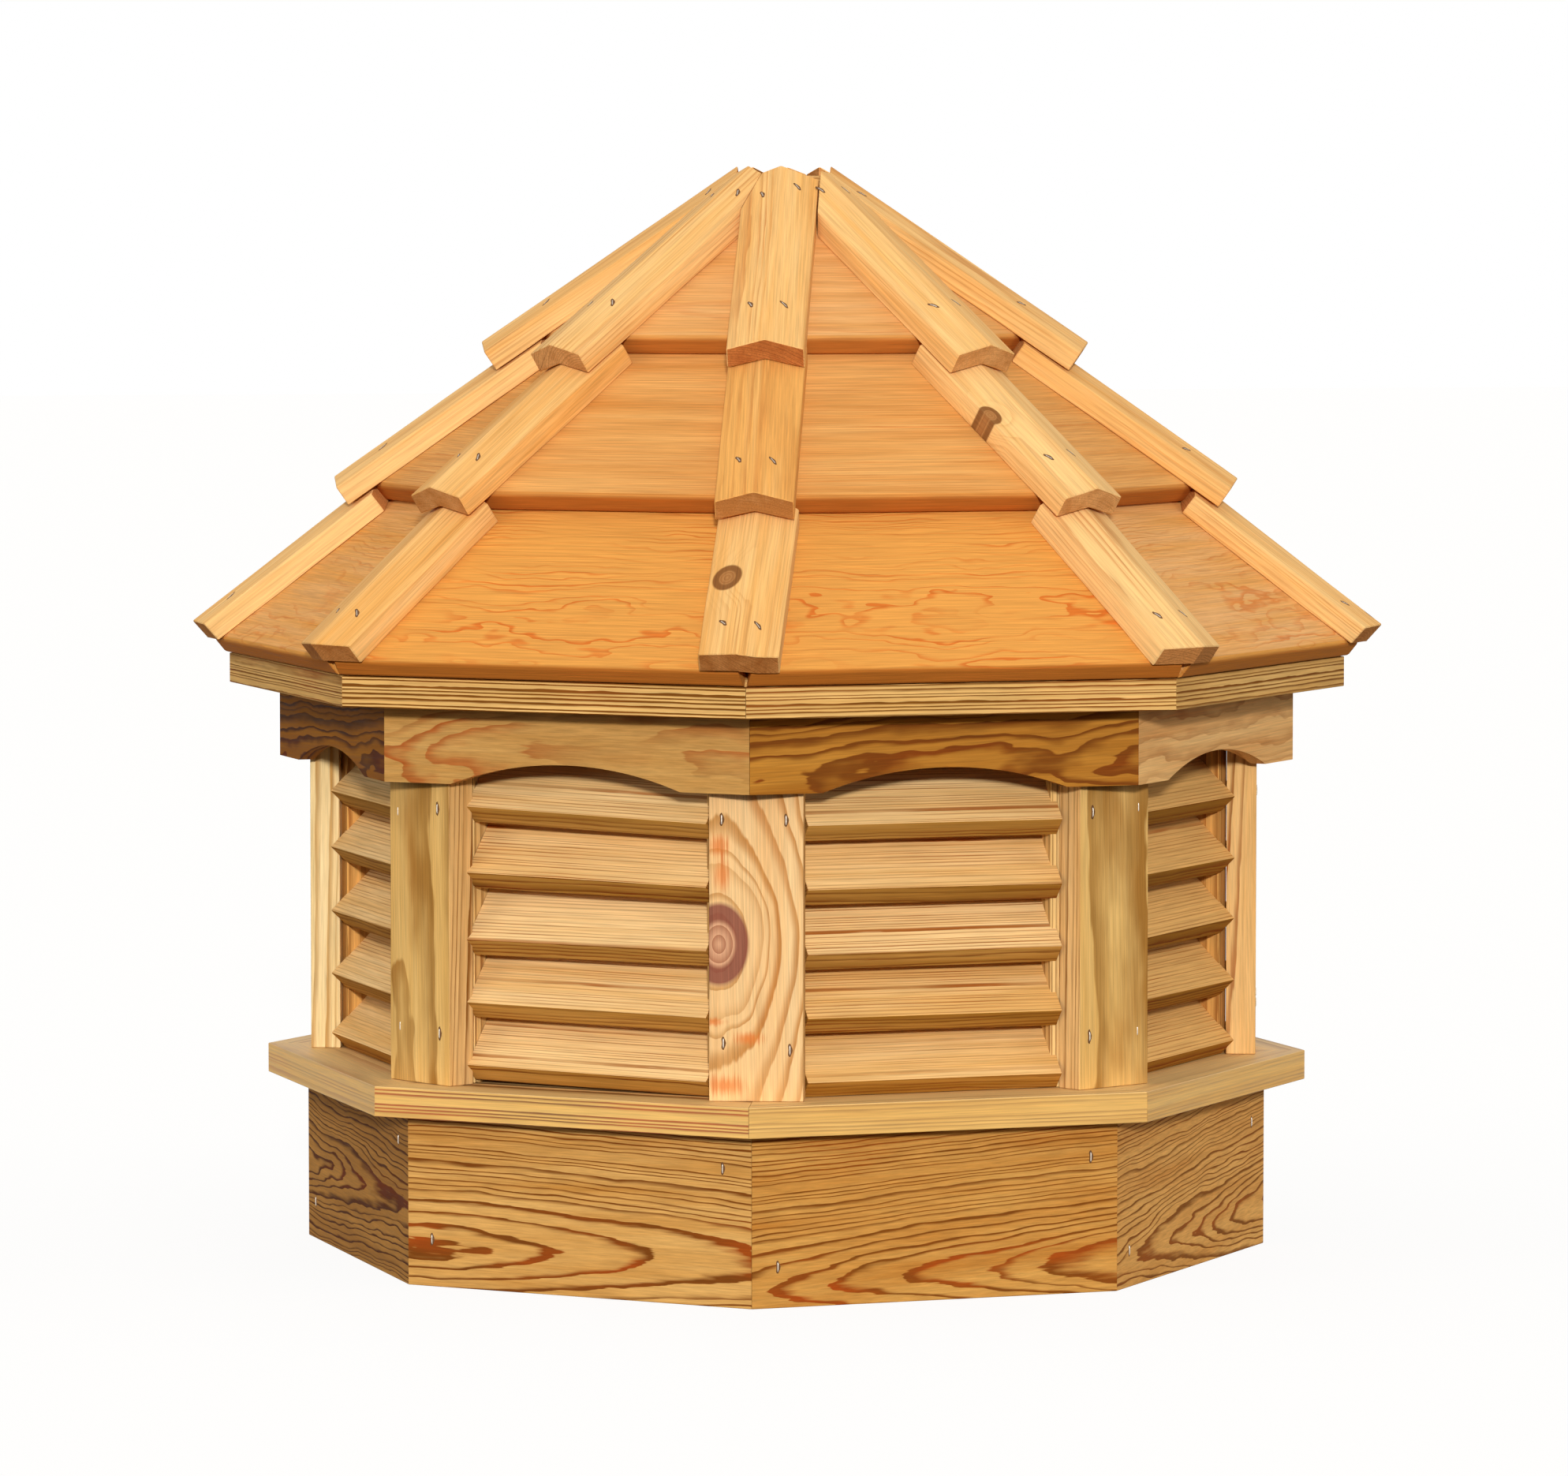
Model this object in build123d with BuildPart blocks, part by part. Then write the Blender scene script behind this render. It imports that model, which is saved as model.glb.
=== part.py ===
from build123d import *
import os
from math import atan, cos, degrees, radians, sin, tan

# Roof cupola: an eight-sided louvred lantern on a boarded skirt, under a boarded roof in three
# courses whose hips are covered by V-section caps. All sizes in millimetres and degrees.
# The origin is the centre of the skirt's foot, +Z is up, and side 1 faces -Y. Sides and corners
# are numbered counter-clockwise from above; corner 1 is at the left end of side 1.

os.makedirs("parts", exist_ok=True)

# ---- Driving dimensions -------------------------------------------------------------------------
sides = 8
seat_gap = 0.3          # between a sloping piece and the piece that carries it
mitre_gap = 0.3         # open joint between two mitred ends
arris = 0.8             # rounding of planed edges

skirt_flats = 762.0     # across the faces of the skirt
skirt_height = 142.0
skirt_thick = 19.0

sill_thick = 25.0
sill_wide = 89.0
sill_overhang = 32.0    # beyond the skirt's face

post_wide = 76.0
post_thick = 25.4
post_setback = 42.0     # from the sill's corner in to the post's face
lantern_height = 312.5  # from the sill to the eave plate

slat_count = 5
slat_pitch = 52.0
slat_wide = 60.0
slat_thick = 16.0
slat_slope = 45.0
slat_nose_setback = 40.0    # from the sill's face in to the slat's upper nose edge
slat_end_gap = 0.6          # to the back corner of the post

stile_wide = 16.5
stile_deep = 43.0
stile_housing = 2.5     # length of slat let into the stile

valance_height = 63.0
valance_thick = 13.5
arch_chord = 210.0
arch_rise = 18.5

eave_thick = 25.4
eave_wide = 114.0
eave_overhang = 40.0    # beyond the valance's face

course_pitch = (39.9, 37.2, 36.4)
course_run = (125.0, 134.0)     # level distance between the feet of two courses
course_lap = 20.0
roof_board_thick = 19.5
butt_proud = 1.8        # roof board's foot beyond the eave plate
butt_round = 5.0        # easing of the exposed board edge
hip_gap = 1.0           # half the joint between two boards at their undersides

cap_wide = 64.0
cap_thick = 20.2        # at the ridge
cap_wing = 17.5         # fall of each wing from the ridge, seen square to the hip
cap_notch = 15.0        # fall of the notch's sides
cap_arris = 1.2
cap_proud = 3.0         # lowest cap's end beyond the board's butt
cap_hang = (0.0, 36.0, 57.0)    # cap's lower end beyond its course's butt, along the hip
cap_end_gap = 0.5       # cap's upper end to the foot of the course above

rafter_thick = 19.0
rafter_deep = 76.0      # plumb depth at the peak block
rafter_setback = 9.0    # rafter's foot in from the eave plate's corner
rafter_step_gap = 2.0   # rafter's step to the upper end of a board

block_flats = 79.0
block_drop = 118.0      # from the top to the bottom of the peak block
block_sunk = 9.0        # top of the block below the ridge of the caps' upper ends

# ---- Derived from the driving dimensions --------------------------------------------------------
side_turn = 360 / sides
half_turn = radians(side_turn / 2)
corner_ratio = cos(half_turn)       # apothem over corner radius

skirt_apothem = skirt_flats / 2
sill_apothem = skirt_apothem + sill_overhang
sill_top = skirt_height + sill_thick
eave_bottom = sill_top + lantern_height
eave_top = eave_bottom + eave_thick

post_face = sill_apothem / corner_ratio - post_setback
post_back = post_face - post_thick
post_corner_apothem = post_face * corner_ratio + post_wide / 2 * sin(half_turn)
valance_apothem = post_corner_apothem + seat_gap + valance_thick
eave_apothem = valance_apothem + eave_overhang

slat_half = post_back * sin(half_turn) - post_wide / 2 * corner_ratio - slat_end_gap
slat_lean = radians(slat_slope)
nose_foot = sill_apothem - slat_nose_setback - slat_thick * sin(slat_lean)
stile_inside = slat_half - stile_housing
stile_face = (post_back - seat_gap - (stile_inside + stile_wide) * sin(half_turn)) / corner_ratio

pitches = [radians(angle) for angle in course_pitch]
foot = [eave_apothem + butt_proud]
for run in course_run:
    foot.append(foot[-1] - run)
block_corner = block_flats / 2 / corner_ratio

# Height at which each course's underside and top would reach the axis.
under = [eave_top + seat_gap / cos(pitches[0]) + tan(pitches[0]) * eave_apothem]
top = [under[0] + roof_board_thick / cos(pitches[0])]
for course in (1, 2):
    rest = foot[course] - course_lap
    rest_height = top[-1] - tan(pitches[course - 1]) * rest + seat_gap / cos(pitches[course])
    under.append(rest_height + tan(pitches[course]) * rest)
    top.append(under[-1] + roof_board_thick / cos(pitches[course]))

hip_slope = [atan(tan(pitch) * corner_ratio) for pitch in pitches]


def cap_lift(course):
    """Height of a cap's notch over the hip of its boards, square to the hip: the wing edges bear."""
    pitch, hip = pitches[course], hip_slope[course]
    roof_wing = sin(pitch) * sin(half_turn)
    roof_wing /= sin(pitch) * corner_ratio * sin(hip) + cos(pitch) * cos(hip)
    return seat_gap + cap_wide / 2 * (tan(radians(cap_notch)) - roof_wing)


def cap_ridge(course, radius):
    """Height of a cap's ridge at a distance from the axis."""
    hip = hip_slope[course]
    return top[course] - tan(hip) * radius + (cap_lift(course) + cap_thick) / cos(hip)


block_top = cap_ridge(2, block_flats / 2) - block_sunk


# ---- Planes --------------------------------------------------------------------------------------
def radial(turns):
    """Level direction out from the axis; whole turns face a side and half turns a corner."""
    angle = radians(turns * side_turn)
    return Vector(sin(angle), -cos(angle), 0)


def along(turns):
    """Level direction across radial(turns), counter-clockwise from above."""
    angle = radians(turns * side_turn)
    return Vector(cos(angle), sin(angle), 0)


def level(turns, height):
    """Level plane whose -Y points out along radial(turns)."""
    return Plane(origin=(0, 0, height), x_dir=along(turns), z_dir=(0, 0, 1))


def upright(turns):
    """Upright plane through the axis: X runs out along radial(turns) and Y is height."""
    return Plane(origin=(0, 0, 0), x_dir=radial(turns), z_dir=-along(turns))


def roof_plane(side, course):
    """Underside of a course on one side: origin at the middle of its foot, Y up the slope."""
    pitch = pitches[course]
    height = under[course] - tan(pitch) * foot[course]
    normal = radial(side) * sin(pitch) + Vector(0, 0, cos(pitch))
    return Plane(origin=radial(side) * foot[course] + Vector(0, 0, height), x_dir=along(side), z_dir=normal)


def half_length(apothem):
    """Half the length of a mitred board at a distance from the axis."""
    return apothem * tan(half_turn) - mitre_gap / 2 / corner_ratio


# ---- Shapes that several pieces share -------------------------------------------------------------
def mitred_plan(outer, inner):
    """Plan of a board along one side, its ends mitred to the corners."""
    Polygon(
        (-half_length(outer), -outer),
        (half_length(outer), -outer),
        (half_length(inner), -inner),
        (-half_length(inner), -inner),
        align=None,
    )


def slat_profiles(slack):
    """Section of a side's slats, each grown by a slack all round."""
    for k in range(slat_count):
        heel = slack * (cos(slat_lean) - sin(slat_lean))
        rise = slack * (cos(slat_lean) + sin(slat_lean))
        height = sill_top + seat_gap + k * slat_pitch
        with Locations((nose_foot + heel, height - rise)):
            Rectangle(
                slat_wide + 2 * slack,
                slat_thick + 2 * slack,
                rotation=180 - slat_slope,
                align=(Align.MIN, Align.MAX),
            )


def long_edges(builder, length):
    """Edges of one length in the part being built."""
    return builder.part.edges().filter_by(lambda edge: abs(edge.length - length) < 0.01)


def write(part, label):
    """Label a finished piece and write it as its own node."""
    part.label = label
    export_step(part, f"parts/{label}.step")


# ---- Skirt: one board a side, on edge --------------------------------------------------------------
for side in range(sides):
    with BuildPart() as skirt_board:
        with BuildSketch(level(side, 0)):
            mitred_plan(skirt_apothem, skirt_apothem - skirt_thick)
        extrude(amount=skirt_height)
        fillet(long_edges(skirt_board, 2 * half_length(skirt_apothem)), radius=arris)
    write(skirt_board.part, f"skirt_board_{side + 1}")

# ---- Sill: eight boards laid flat on the skirt ------------------------------------------------------
with BuildPart() as sill:
    with BuildSketch(*[level(side, skirt_height) for side in range(sides)]):
        mitred_plan(sill_apothem, sill_apothem - sill_wide)
    extrude(amount=sill_thick)
    fillet(long_edges(sill, 2 * half_length(sill_apothem)), radius=arris)
write(sill.part, "sill")

# ---- Posts: one board at each corner, its face square to the corner's radius ------------------------
for corner in range(sides):
    with BuildPart() as post:
        with BuildSketch(level(corner - 0.5, sill_top)):
            with Locations((0, -post_face)):
                Rectangle(post_wide, post_thick, align=(Align.CENTER, Align.MIN))
        extrude(amount=lantern_height)
        fillet(long_edges(post, lantern_height), radius=arris)
    write(post.part, f"post_{corner + 1}")

# ---- Louvres: five fixed slats a side, their ends let into upright stiles ---------------------------
for side in range(sides):
    with BuildPart() as slats:
        with BuildSketch(upright(side)):
            slat_profiles(0)
        extrude(amount=slat_half, both=True)
        fillet(long_edges(slats, 2 * slat_half), radius=arris)
    write(slats.part, f"louvre_slats_{side + 1}")


def stile_pair(side):
    """The two stiles of one side, housed out for the slats."""
    with BuildPart() as pair:
        with BuildSketch(level(side, sill_top)):
            for end in (-1, 1):
                with Locations((end * (stile_inside + stile_wide / 2), -stile_face)):
                    Rectangle(stile_wide, stile_deep, align=(Align.CENTER, Align.MIN))
        extrude(amount=lantern_height)
        with BuildSketch(upright(side)):
            slat_profiles(seat_gap)
        extrude(amount=slat_half + seat_gap, both=True, mode=Mode.SUBTRACT)
    return pair.part


stile_pairs = [stile_pair(side) for side in range(sides)]
with BuildPart() as stiles:
    add(stile_pairs)
write(stiles.part, "louvre_stiles")

# ---- Valance: one board a side outside the posts, its lower edge cut to a shallow arch ---------------
for side in range(sides):
    with BuildPart() as valance_board:
        with BuildSketch(level(side, eave_bottom - valance_height)):
            mitred_plan(valance_apothem, valance_apothem - valance_thick)
        extrude(amount=valance_height)
        arch_plane = Plane(
            origin=radial(side) * (valance_apothem + seat_gap) + Vector(0, 0, eave_bottom - valance_height),
            x_dir=-along(side),
            z_dir=-radial(side),
        )
        with BuildSketch(arch_plane):
            with BuildLine():
                ThreePointArc((-arch_chord / 2, 0), (0, arch_rise), (arch_chord / 2, 0))
                Line((arch_chord / 2, 0), (-arch_chord / 2, 0))
            make_face()
        extrude(amount=valance_thick + 2 * seat_gap, mode=Mode.SUBTRACT)
    write(valance_board.part, f"valance_board_{side + 1}")

# ---- Eave plate: eight boards laid flat on the posts -------------------------------------------------
with BuildPart() as eave_plate:
    with BuildSketch(*[level(side, eave_bottom) for side in range(sides)]):
        mitred_plan(eave_apothem, eave_apothem - eave_wide)
    extrude(amount=eave_thick)
    fillet(long_edges(eave_plate, 2 * half_length(eave_apothem)), radius=arris)
write(eave_plate.part, "eave_plate")


# ---- Roof boards: three courses, each board square-ended along the hips ------------------------------
def board_end(course):
    """Distance from the axis to the upper end of a course's underside."""
    if course + 1 < len(foot):
        return foot[course + 1] - course_lap - roof_board_thick * sin(pitches[course])
    return block_corner + seat_gap


def roof_board(side, course):
    """One board of a course, with the two long edges of its butt eased."""
    end = board_end(course)
    length = (foot[course] - end) / cos(pitches[course])
    low_half = foot[course] * tan(half_turn) - hip_gap
    high_half = end * tan(half_turn) - hip_gap
    with BuildPart() as board:
        with BuildSketch(roof_plane(side, course)):
            with BuildLine():
                Polyline((-low_half, 0), (low_half, 0), (high_half, length), (-high_half, length), close=True)
            make_face()
        extrude(amount=roof_board_thick)
        butt = board.faces().sort_by(Axis(roof_plane(side, course).origin, roof_plane(side, course).y_dir))[0]
        fillet(butt.edges().sort_by(SortBy.LENGTH)[-2:], radius=butt_round)
    return board.part


course_names = ("lower", "middle", "upper")
for course, course_name in enumerate(course_names):
    boards = [roof_board(side, course) for side in range(sides)]
    with BuildPart() as roof_course:
        add(boards)
    write(roof_course.part, f"roof_boards_{course_name}")


# ---- Hip caps: a V-section cap over each hip of each course ------------------------------------------
def cap_section():
    """Section of a cap square to the hip: two wings with plumb edges, notched beneath."""
    half = cap_wide / 2
    foot_fall = half * tan(radians(cap_notch))
    fall = half * tan(radians(cap_wing))
    Polygon(
        (0, 0),
        (half, -foot_fall),
        (half, cap_thick - fall),
        (0, cap_thick),
        (-half, cap_thick - fall),
        (-half, -foot_fall),
        align=None,
    )


def hip_cap(corner, course):
    """One cap: square ends, but eaves cuts at the foot of the roof and plumb cuts at the peak."""
    turns = corner - 0.5
    hip = hip_slope[course]
    out = radial(turns)
    up_hip = Vector(0, 0, sin(hip)) - out * cos(hip)
    square = out * sin(hip) + Vector(0, 0, cos(hip))
    butt_radius = (foot[course] + roof_board_thick * sin(pitches[course])) / corner_ratio
    end_radius = butt_radius + cap_hang[course] * cos(hip)
    if course == 0:
        end_radius += cap_thick + cap_proud
    notch = out * end_radius + Vector(0, 0, cap_ridge(course, end_radius)) - square * cap_thick
    if course + 1 < len(foot):
        high_radius = foot[course + 1] / corner_ratio + cap_end_gap
    else:
        high_radius = 0
    notch_radius = end_radius - cap_thick * sin(hip)
    with BuildPart() as cap:
        with BuildSketch(Plane(origin=notch, x_dir=-along(turns), z_dir=up_hip)) as section:
            cap_section()
            fillet(section.vertices(), cap_arris)
        extrude(amount=(notch_radius - high_radius) / cos(hip))
        if course == 0:
            for side in (corner - 1, corner):
                underside = roof_plane(side, course)
                down_slope = -underside.y_dir
                split(bisect_by=Plane(origin=underside.origin + down_slope * cap_proud, z_dir=down_slope),
                      keep=Keep.BOTTOM)
        if course == len(foot) - 1:
            split(bisect_by=Plane(origin=out * (block_flats / 2 + seat_gap), z_dir=-out), keep=Keep.BOTTOM)
            for side, way in ((corner - 1, -1), (corner, 1)):
                across = along(side) * way
                split(bisect_by=Plane(origin=across * (-mitre_gap / 2), z_dir=across), keep=Keep.BOTTOM)
    return cap.part


for course, course_name in enumerate(course_names):
    caps = [hip_cap(corner, course) for corner in range(sides)]
    with BuildPart() as cap_ring:
        add(caps)
    write(cap_ring.part, f"hip_caps_{course_name}")

# ---- Hip rafters: stepped to bed each course, from the eave plate to the peak block ------------------
rafter_edge = [tan(pitch) * sin(half_turn) * rafter_thick / 2 for pitch in pitches]


def rafter_top(course, radius):
    """Height of the rafter's top edge under a course: its two arrises bear on the boards."""
    bed = under[course] - rafter_edge[course] - seat_gap / cos(pitches[course])
    return bed - tan(hip_slope[course]) * radius


rafter_foot = eave_apothem / corner_ratio - rafter_setback
rafter_head = block_flats / 2 + seat_gap
rafter_spread = rafter_thick / 2 * sin(half_turn)
rafter_steps = [(board_end(course) - rafter_spread) / corner_ratio - rafter_step_gap for course in (0, 1)]
rafter_heel = rafter_head + (rafter_top(2, rafter_head) - rafter_deep - eave_top) / tan(hip_slope[1])

with BuildPart() as hip_rafters:
    with BuildSketch(*[upright(corner - 0.5) for corner in range(sides)]):
        with BuildLine():
            Polyline(
                (rafter_foot, eave_top),
                (rafter_foot, rafter_top(0, rafter_foot)),
                (rafter_steps[0], rafter_top(0, rafter_steps[0])),
                (rafter_steps[0], rafter_top(1, rafter_steps[0])),
                (rafter_steps[1], rafter_top(1, rafter_steps[1])),
                (rafter_steps[1], rafter_top(2, rafter_steps[1])),
                (rafter_head, rafter_top(2, rafter_head)),
                (rafter_head, rafter_top(2, rafter_head) - rafter_deep),
                (rafter_heel, eave_top),
                close=True,
            )
        make_face()
    extrude(amount=rafter_thick / 2, both=True)
write(hip_rafters.part, "hip_rafters")

# ---- Peak block: eight-sided, a flat to each rafter and each upper cap -------------------------------
with BuildPart() as peak_block:
    with BuildSketch(Plane.XY.offset(block_top - block_drop)):
        RegularPolygon(radius=block_flats / 2, side_count=sides, major_radius=False)
    extrude(amount=block_drop)
write(peak_block.part, "peak_block")

roof_flats = 2 * (foot[0] + roof_board_thick * sin(pitches[0]))
print(f"eave plate across flats {2 * eave_apothem:.1f}, roof boards {roof_flats:.1f}")
print(f"peak at {cap_ridge(2, block_flats / 2 + seat_gap):.1f}, block top {block_top:.1f}")
print(f"slat half length {slat_half:.2f}, nose foot {nose_foot:.2f}, stile face {stile_face:.2f}")
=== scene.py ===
import bpy
from math import atan, cos, radians, sin, tan, tau
import numpy as np
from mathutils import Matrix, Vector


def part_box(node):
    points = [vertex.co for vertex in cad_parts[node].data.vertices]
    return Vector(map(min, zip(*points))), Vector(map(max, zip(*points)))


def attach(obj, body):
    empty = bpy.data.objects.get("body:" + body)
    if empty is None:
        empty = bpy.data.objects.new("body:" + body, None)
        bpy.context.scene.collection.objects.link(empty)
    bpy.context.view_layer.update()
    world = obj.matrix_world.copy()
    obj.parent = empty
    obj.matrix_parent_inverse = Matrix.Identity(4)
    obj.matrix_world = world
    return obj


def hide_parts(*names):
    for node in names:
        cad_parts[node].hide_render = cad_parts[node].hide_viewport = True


# Roof cupola: an octagonal pine lantern with fixed louvres under a boarded roof with hip caps.
# Sizes are millimetres, turned to metres by MM where Blender takes them; the camera and the
# floor are in metres. Side 1 faces -Y; sides and corners count counter-clockwise from above,
# and corner 1 is the left end of side 1. "Turns" are eighths of a turn from side 1.

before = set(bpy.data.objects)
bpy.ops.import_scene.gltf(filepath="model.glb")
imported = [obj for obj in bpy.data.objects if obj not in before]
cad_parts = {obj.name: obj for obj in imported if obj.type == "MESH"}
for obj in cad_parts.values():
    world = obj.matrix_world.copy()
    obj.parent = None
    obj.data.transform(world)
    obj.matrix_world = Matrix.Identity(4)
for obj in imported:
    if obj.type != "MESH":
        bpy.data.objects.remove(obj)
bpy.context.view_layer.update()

MM = 0.001
SIDES = 8
TURN = tau / SIDES
HALF = TURN / 2
UP = np.array([0.0, 0.0, 1.0])
SHARP = radians(32)  # faces that meet more steeply keep a sharp edge

ARRIS_POINTS = 5  # outline points that each corner of a section becomes
RIGHT_FACE = range(7, 12)  # outline faces of a post's side that looks along +v
LEFT_FACE = (17, 18, 19, 0, 1)
SLAT_NOSE = range(2, 7)  # a slat's lower edge
CAP_RIDGE = (2, 27)  # points at a cap's notch and at its ridge

WEAR_WAVES = 4  # slow waves in a worn arris
WEAR_SHARE, WEAR_TURNS = 0.35, 0.8  # how far they change its easing, and turns in a board
TREE_METRES = 3  # a board starts anywhere in this much of its tree
NO_KNOT = (-9e4, 0, 10, 10)
KNOT_FREE = 9.0  # a knot point well outside any knot


# ---- Directions ----
def outward(turns):
    """Level direction away from the axis; whole turns face a side, half turns a corner."""
    return np.array([sin(turns * TURN), -cos(turns * TURN), 0.0])


def sideways(turns):
    """Level direction along a side, counter-clockwise from above."""
    return np.array([cos(turns * TURN), sin(turns * TURN), 0.0])


# ---- Boards ----
def eased_section(corners, easing):
    """Outlines of a section at every station: each corner c is replaced by the parabola
    (1-s)^2 a + 2 s (1-s) c + s^2 b, where a and b lie an easing away along its two edges."""
    back = np.roll(corners, 1, 0) - corners
    ahead = np.roll(corners, -1, 0) - corners
    back /= np.linalg.norm(back, axis=1, keepdims=True)
    ahead /= np.linalg.norm(ahead, axis=1, keepdims=True)
    s = np.linspace(0, 1, ARRIS_POINTS)[:, None]
    reach = easing[:, :, None, None]
    corner = corners[None, :, None]
    a = corner + reach * back[None, :, None]
    b = corner + reach * ahead[None, :, None]
    return ((1 - s) ** 2 * a + 2 * s * (1 - s) * corner + s**2 * b).reshape(len(easing), -1, 2)


def tube_faces(rows, around):
    """Numbers of a tube's points, ring by ring, and its quads between one ring and the next."""
    index = np.arange(rows * around).reshape(rows, around)
    here, there = index[:-1], index[1:]
    quads = np.stack([here, np.roll(here, -1, 1), np.roll(there, -1, 1), there], -1)
    return index, quads.reshape(-1, 4)


def board(corners, low, high, axes, origin, *, easing, seed, heart, tone, end_easing=0.5, stations=16,
          tilt=(0, 0), knot=None, fold=None, edge=(), cut=None):
    """One sawn board: point = origin + u A + v B + w C. (v, w) is the section, its arrises worn by
    a few slow waves, and u runs evenly from the low cut to the high cut, each a function of
    (v, w). The end rings shrink by the end easing. The grain point is (u, v, w) less the tree's
    heart, turned by a small tilt, so growth rings are circles round its first axis. The knot point
    is ((u - along) / long radius, (v - across) / short radius). A fold splits the end faces
    between two points of the outline, where two cuts meet. The outline faces listed under edge
    take the piece's second material, and the end faces take its material number cut."""
    rng = np.random.default_rng(seed)
    corners = np.asarray(corners, float)
    t = np.linspace(0, 1, stations)
    count = np.arange(1, WEAR_WAVES + 1)[:, None, None]
    phase = rng.uniform(0, tau, (WEAR_WAVES, 1, len(corners)))
    wear = (np.sin(tau * count * t[None, :, None] * WEAR_TURNS + phase) / count).sum(0)
    section = eased_section(corners, easing * (1 + WEAR_SHARE * wear))
    side = np.roll(section, -1, 1) - np.roll(section, 1, 1)
    turn_in = np.stack([-side[..., 1], side[..., 0]], -1)
    turn_in /= np.linalg.norm(turn_in, axis=-1, keepdims=True) + 1e-12
    x, y = section[0].T
    area = 0.5 * np.sum(x * np.roll(y, -1) - y * np.roll(x, -1))
    shrunk = section + turn_in * end_easing * np.sign(area)
    rings = np.concatenate([shrunk[:1], section, shrunk[-1:]])
    v, w = rings[..., 0], rings[..., 1]
    start, stop = low(v, w), high(v, w)
    tip = end_easing / np.mean(stop - start)
    share = np.concatenate([[0], tip + t * (1 - 2 * tip), [1]])[:, None]
    u = start + share * (stop - start)
    axes = np.asarray(axes, float)
    points = np.asarray(origin) + u[..., None] * axes[0] + v[..., None] * axes[1] + w[..., None] * axes[2]
    rows, around = v.shape
    index, quads = tube_faces(rows, around)
    ends = [index[0, ::-1], index[-1]]
    if fold:
        a, b = fold
        halves = (index[:, a:b + 1], np.concatenate([index[:, b:], index[:, :a + 1]], 1))
        ends = [half[0, ::-1] for half in halves] + [half[-1] for half in halves]
    if np.linalg.det(axes) * area < 0:
        quads = quads[:, ::-1]
        ends = [end[::-1] for end in ends]
    dip, skew = tilt
    grain_u = u + 1000 * rng.uniform(0, TREE_METRES)
    grain_v = v - heart[0] + skew * u
    grain_w = w - heart[1] + dip * u
    grain = np.stack([grain_u, grain_v, grain_w], -1)
    along, across, long_way, short_way = knot or NO_KNOT
    knotted = np.stack([(u - along) / long_way, (v - across) / short_way, 0 * w], -1)
    kinds = np.zeros((rows - 1, around), int)
    kinds[:, list(edge)] = 1
    return {
        "points": points.reshape(-1, 3) * MM,
        "quads": quads,
        "kinds": kinds.ravel(),
        "ends": ends,
        "cut": cut,
        "grain": grain.reshape(-1, 3) * MM,
        "knot": knotted.reshape(-1, 3),
        "tone": np.tile(np.asarray(tone, float), (rows * around, 1)),
    }


def square(distance):
    """A cut square to the board at a distance along it."""
    return lambda v, w: np.full_like(v, distance)


def add_object(name, data):
    """Puts data into the scene as an object."""
    made = bpy.data.objects.new(name, data)
    bpy.context.scene.collection.objects.link(made)
    return made


def join_cupola(name, mesh):
    """Puts a finished mesh on the cupola's one body."""
    made = add_object(name, mesh)
    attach(made, "root")
    return made


def piece(name, boards, materials, node):
    """Joins boards into one piece that stands for a node. End faces take their own material number,
    or the last."""
    offset = np.cumsum([0] + [len(b["points"]) for b in boards])
    faces, kinds = [], []
    for start, b in zip(offset, boards):
        faces += (b["quads"] + start).tolist() + [(end + start).tolist() for end in b["ends"]]
        kinds += b["kinds"].tolist() + [b["cut"] or len(materials) - 1] * len(b["ends"])
    mesh = bpy.data.meshes.new(name)
    mesh.from_pydata(np.concatenate([b["points"] for b in boards]).tolist(), [], faces)
    for layer in ("grain", "tone", "knot"):
        values = np.concatenate([b[layer] for b in boards]).astype(np.float32)
        mesh.attributes.new(layer, "FLOAT_VECTOR", "POINT").data.foreach_set("vector", values.ravel())
    for material in materials:
        mesh.materials.append(material)
    mesh.polygons.foreach_set("material_index", kinds)
    mesh.shade_smooth()
    mesh.set_sharp_from_angle(angle=SHARP)
    mesh.update()
    made = join_cupola(name, mesh)
    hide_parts(node)


# ---- Finishes ----
def linear(code):
    """sRGB hex to linear RGBA: ((c + 0.055) / 1.055) ^ 2.4 above the toe, c / 12.92 below it."""
    c = np.array([int(code[i:i + 2], 16) for i in (1, 3, 5)]) / 255
    return (*np.where(c > 0.04045, ((c + 0.055) / 1.055) ** 2.4, c / 12.92), 1.0)


def put(tree, kind, sockets=(), **settings):
    """Adds one node with its settings, and fills its sockets with numbers or links."""
    made = tree.nodes.new("ShaderNode" + kind)
    for key, value in settings.items():
        setattr(made, key, value)
    for key, value in dict(sockets).items():
        if isinstance(value, bpy.types.NodeSocket):
            tree.links.new(value, made.inputs[key])
        else:
            made.inputs[key].default_value = value
    return made.outputs


def new_finish(name):
    """A material with no nodes yet, and its node tree."""
    material = bpy.data.materials.new(name)
    material.use_nodes = True
    material.node_tree.nodes.clear()
    return material, material.node_tree


def carried_grain(tree):
    """Grain point, tone and knot point that a board's own mesh carries."""
    return [put(tree, "Attribute", attribute_name=layer)["Vector"] for layer in ("grain", "tone", "knot")]


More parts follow.
